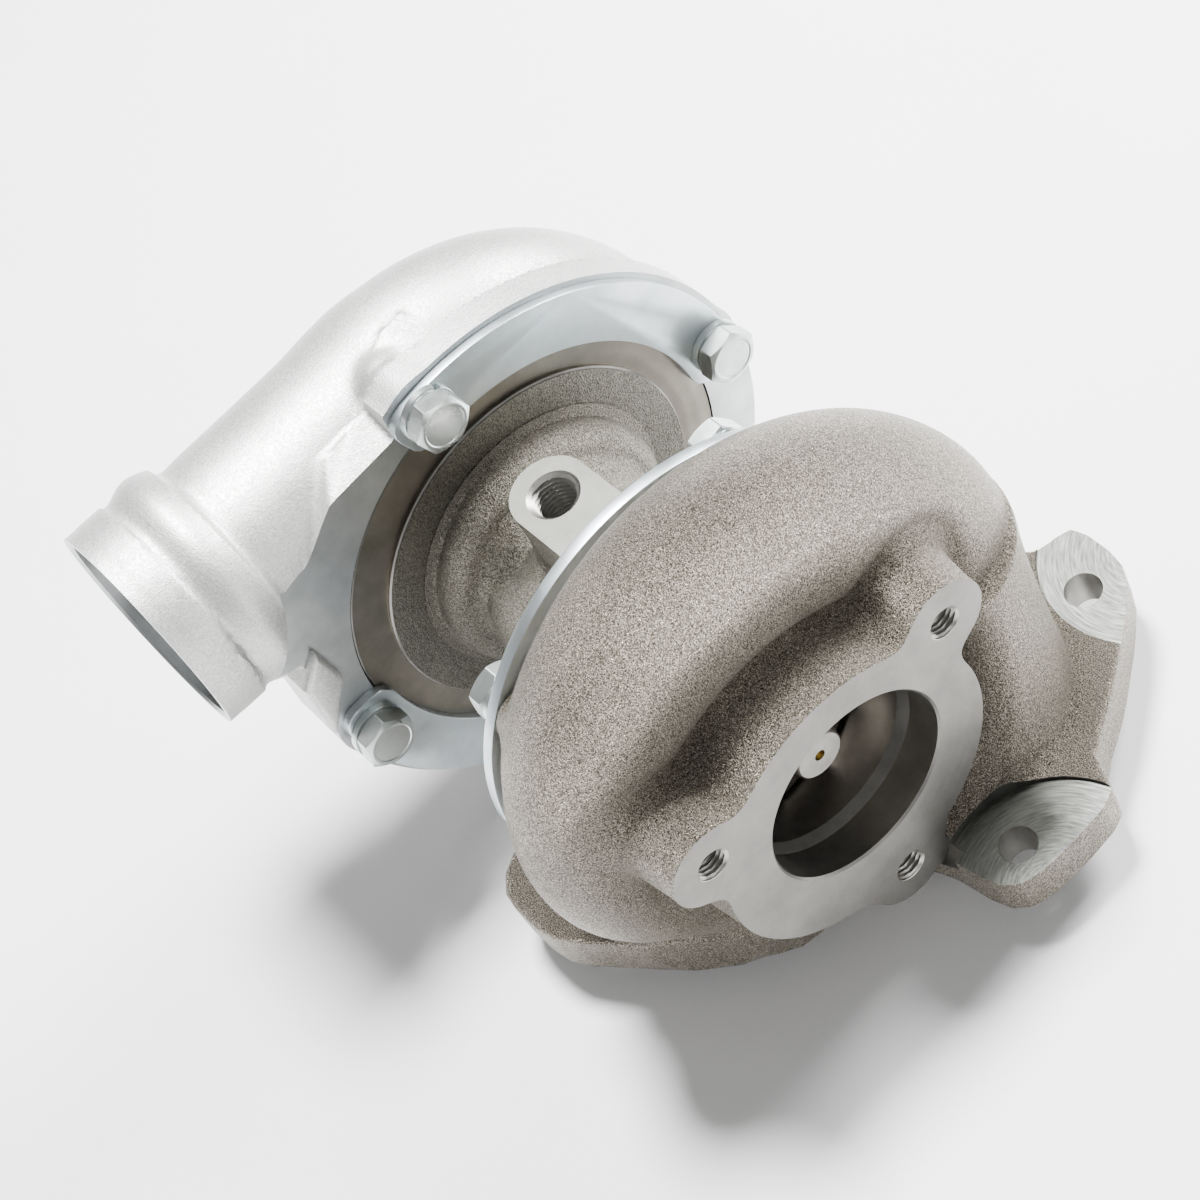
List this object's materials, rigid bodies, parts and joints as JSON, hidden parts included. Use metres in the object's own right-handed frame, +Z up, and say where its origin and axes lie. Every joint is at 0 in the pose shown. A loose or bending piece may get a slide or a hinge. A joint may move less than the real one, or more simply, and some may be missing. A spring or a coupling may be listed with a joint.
{
  "type": "turbocharger",
  "caption": "Journal-bearing turbocharger: cast turbine housing, bearing housing and compressor housing held by clamp plates, with a free-spinning rotor on floating bushes.",
  "frame": {"origin": "centre of the turbine outlet flange face", "axes": "+X out of the turbine outlet along the rotor axis, +Z up out of the oil inlet, -Y towards the compressor outlet"},
  "size_m": [0.199, 0.1771, 0.1411],
  "materials": {
    "cast_iron_turbine": "rough as-cast with machined faces",
    "cast_iron_dark": "rough as-cast, dark",
    "cast_aluminium": "fine sand-cast, satin",
    "zinc_steel": "zinc plated sheet",
    "bolt_steel": "zinc plated",
    "washer_steel": "zinc plated",
    "shield_steel": "pressed sheet",
    "spring_steel": "oiled",
    "plate_iron": "turned",
    "ring_iron": "turned",
    "bearing_bronze": "turned",
    "black_rubber": "moulded",
    "nickel_alloy": "investment cast",
    "ground_steel": "ground",
    "wheel_aluminium": "cast and balanced"
  },
  "bodies": {
    "casing": {"turbine_housing": "cast_iron_turbine", "turbine_clamp_plates": "zinc_steel", "turbine_clamp_bolts": "bolt_steel", "turbine_spring_washers": "washer_steel", "heat_shield": "shield_steel", "bearing_housing": "cast_iron_dark", "bearing_retaining_rings": "spring_steel", "thrust_bearing": "bearing_bronze", "thrust_bearing_pins": "spring_steel", "oil_deflector": "shield_steel", "seal_plate": "plate_iron", "seal_plate_o_ring": "black_rubber", "seal_plate_snap_ring": "spring_steel", "turbine_seal_ring": "ring_iron", "compressor_seal_ring": "ring_iron", "compressor_housing": "cast_aluminium", "housing_o_ring": "black_rubber", "compressor_clamp_plates": "zinc_steel", "compressor_clamp_bolts": "bolt_steel", "compressor_spring_washers": "washer_steel"},
    "rotor": {"turbine_wheel": "nickel_alloy", "rotor_shaft": "ground_steel", "thrust_collar": "ground_steel", "flinger_sleeve": "ground_steel", "compressor_wheel": "wheel_aluminium", "compressor_nut": "bolt_steel"},
    "turbine_float": {"turbine_bush": "bearing_bronze"},
    "compressor_float": {"compressor_bush": "bearing_bronze"}
  },
  "joints": [
    {"name": "rotor_spin", "type": "hinge", "parent": "casing", "child": "rotor", "pos_m": [-0.08, 0, 0], "axis": [1, 0, 0], "continuous": true},
    {"name": "turbine_bush_spin", "type": "hinge", "parent": "casing", "child": "turbine_float", "pos_m": [-0.0645, 0, 0], "axis": [1, 0, 0], "continuous": true},
    {"name": "compressor_bush_spin", "type": "hinge", "parent": "casing", "child": "compressor_float", "pos_m": [-0.0915, 0, 0], "axis": [1, 0, 0], "continuous": true}
  ],
  "couplings": [
    {"joint": "turbine_bush_spin", "follows": "rotor_spin", "ratio": 0.3},
    {"joint": "compressor_bush_spin", "follows": "rotor_spin", "ratio": 0.3}
  ]
}
